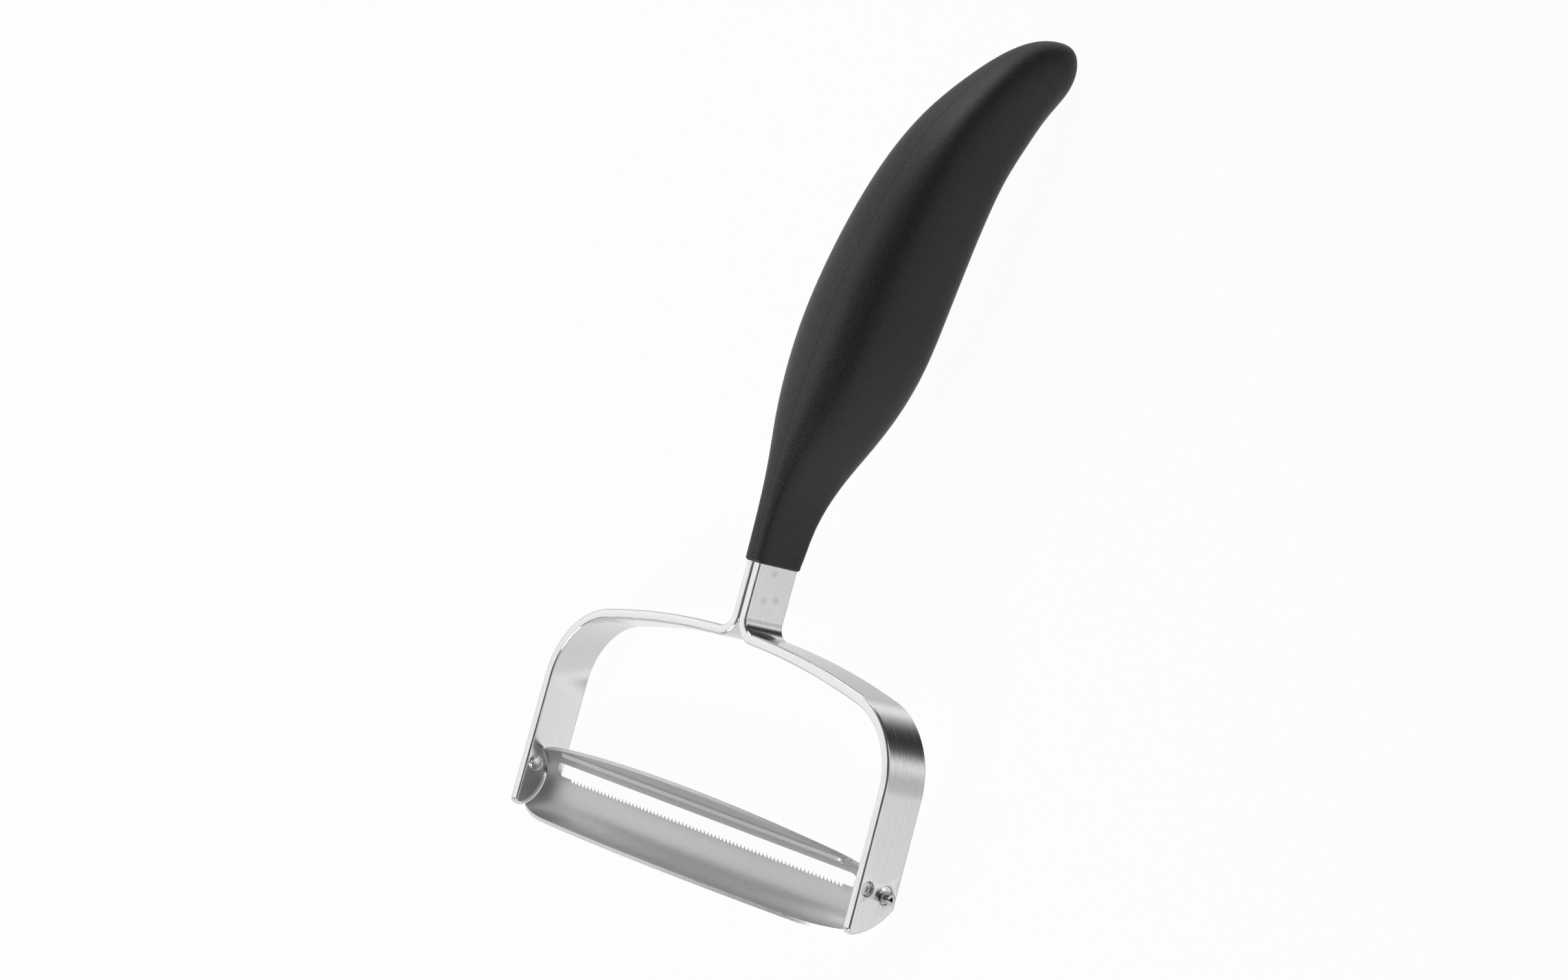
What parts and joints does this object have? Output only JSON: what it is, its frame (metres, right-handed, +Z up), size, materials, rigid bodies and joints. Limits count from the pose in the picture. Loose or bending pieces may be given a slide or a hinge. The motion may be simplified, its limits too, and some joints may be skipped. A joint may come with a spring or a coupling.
{
  "type": "cheese slicer",
  "caption": "Hand-held cheese slicer: moulded black handle, yoke of bent steel strip, and a swinging trough blade with a serrated slot.",
  "frame": {"origin": "centre of the bounding box at the table, with the tool laid on its back", "axes": "+X to the right across the blade, +Y along the tool from the blade to the handle's tip, +Z up from the table, the side that the front of the tool and the open side of the trough face"},
  "size_m": [0.1088, 0.1834, 0.0324],
  "materials": {
    "handle_plastic": "fine-grained matt black",
    "strip_steel": "satin, brushed along the strip",
    "blade_steel": "fine satin, as rolled"
  },
  "bodies": {
    "frame": {"handle": "handle_plastic", "right_arm": "strip_steel", "left_arm": "strip_steel"},
    "cutter": {"blade": "blade_steel"}
  },
  "joints": [
    {"name": "blade_swing", "type": "hinge", "parent": "frame", "child": "cutter", "pos_m": [0, -0.07989, 0.00374], "axis": [1, 0, 0], "range_deg": [-58, 16]}
  ]
}
